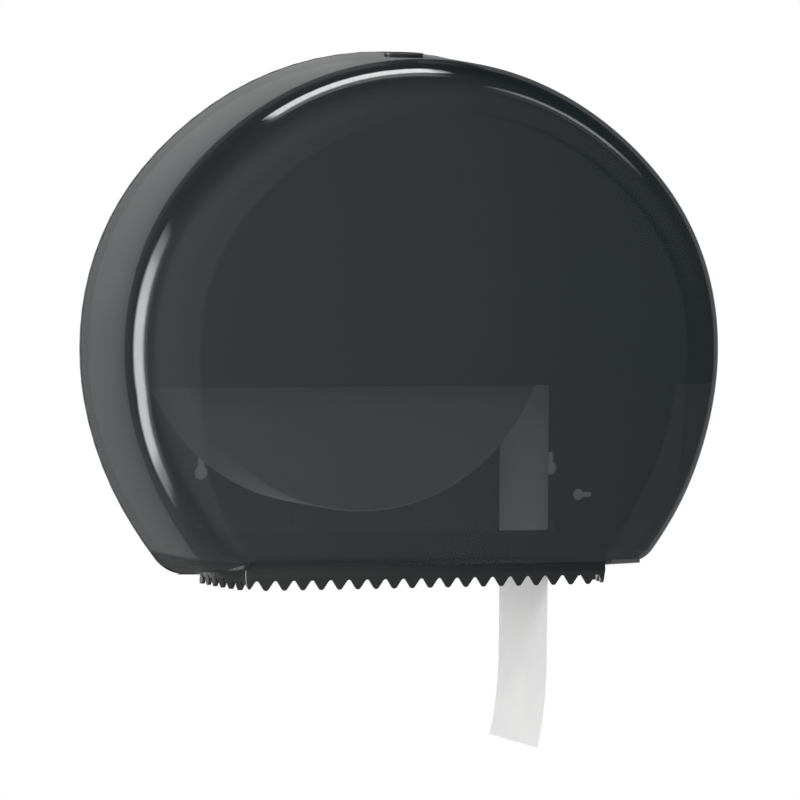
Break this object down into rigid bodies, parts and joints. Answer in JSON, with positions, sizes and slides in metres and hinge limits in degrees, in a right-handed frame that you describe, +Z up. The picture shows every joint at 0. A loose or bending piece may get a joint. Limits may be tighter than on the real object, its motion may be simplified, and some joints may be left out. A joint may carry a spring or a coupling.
{
  "type": "jumbo toilet roll dispenser",
  "caption": "Wall-mounted jumbo toilet roll dispenser with a smoked D-shaped hinged cover, a braked roll hub and a serrated tear bar.",
  "frame": {"origin": "on the wall plane, on the cover's centre line, at the datum height of the wall fixings", "axes": "+X to the right seen from the front, +Z up, +Y into the wall; the front faces -Y"},
  "size_m": [0.437, 0.1325, 0.475],
  "materials": {
    "smoked_plastic": "glossy smoked ABS",
    "black_mask": "matt black film",
    "plate_plastic": "satin moulded plastic",
    "bar_plastic": "satin moulded plastic",
    "hub_plastic": "satin moulded plastic",
    "steel": "zinc-plated steel",
    "axle_plastic": "acetal",
    "tissue": "soft two-ply tissue",
    "board": "wound grey board",
    "lock_metal": "dark zinc casting",
    "lock_plastic": "satin moulded plastic"
  },
  "bodies": {
    "chassis": {"back_plate": "plate_plastic", "hinge_pins": "steel", "tear_bar": "bar_plastic", "tear_bar_screws": "steel", "hub_axle": "axle_plastic", "axle_screws": "steel", "brake_washer": "axle_plastic", "brake_spring": "steel", "axle_end_cap": "hub_plastic", "axle_end_screw": "steel", "stub_post": "hub_plastic", "stub_post_screws": "steel", "lock_keeper": "steel", "keeper_screws": "steel", "paper_tail": "tissue"},
    "roll": {"spindle_hub": "hub_plastic", "roll_core": "board", "paper_roll": "tissue"},
    "cover": {"cover_shell": "smoked_plastic", "cover_liner": "black_mask", "lock_body": "lock_plastic", "lock_nut": "steel"},
    "lock": {"lock_barrel": "lock_metal", "lock_cam": "steel", "cam_screw": "steel"}
  },
  "joints": [
    {"name": "cover_hinge", "type": "hinge", "parent": "chassis", "child": "cover", "pos_m": [0, -0.006, -0.148], "axis": [1, 0, 0], "range_deg": [0, 85], "deforming": ["paper_tail"]},
    {"name": "roll_spin", "type": "hinge", "parent": "chassis", "child": "roll", "pos_m": [-0.052, -0.063, 0.027], "axis": [0, 1, 0], "continuous": true},
    {"name": "key_turn", "type": "hinge", "parent": "cover", "child": "lock", "pos_m": [0, -0.038, 0.20361], "axis": [0, -0.0889, 0.996], "range_deg": [-90, 0]}
  ]
}
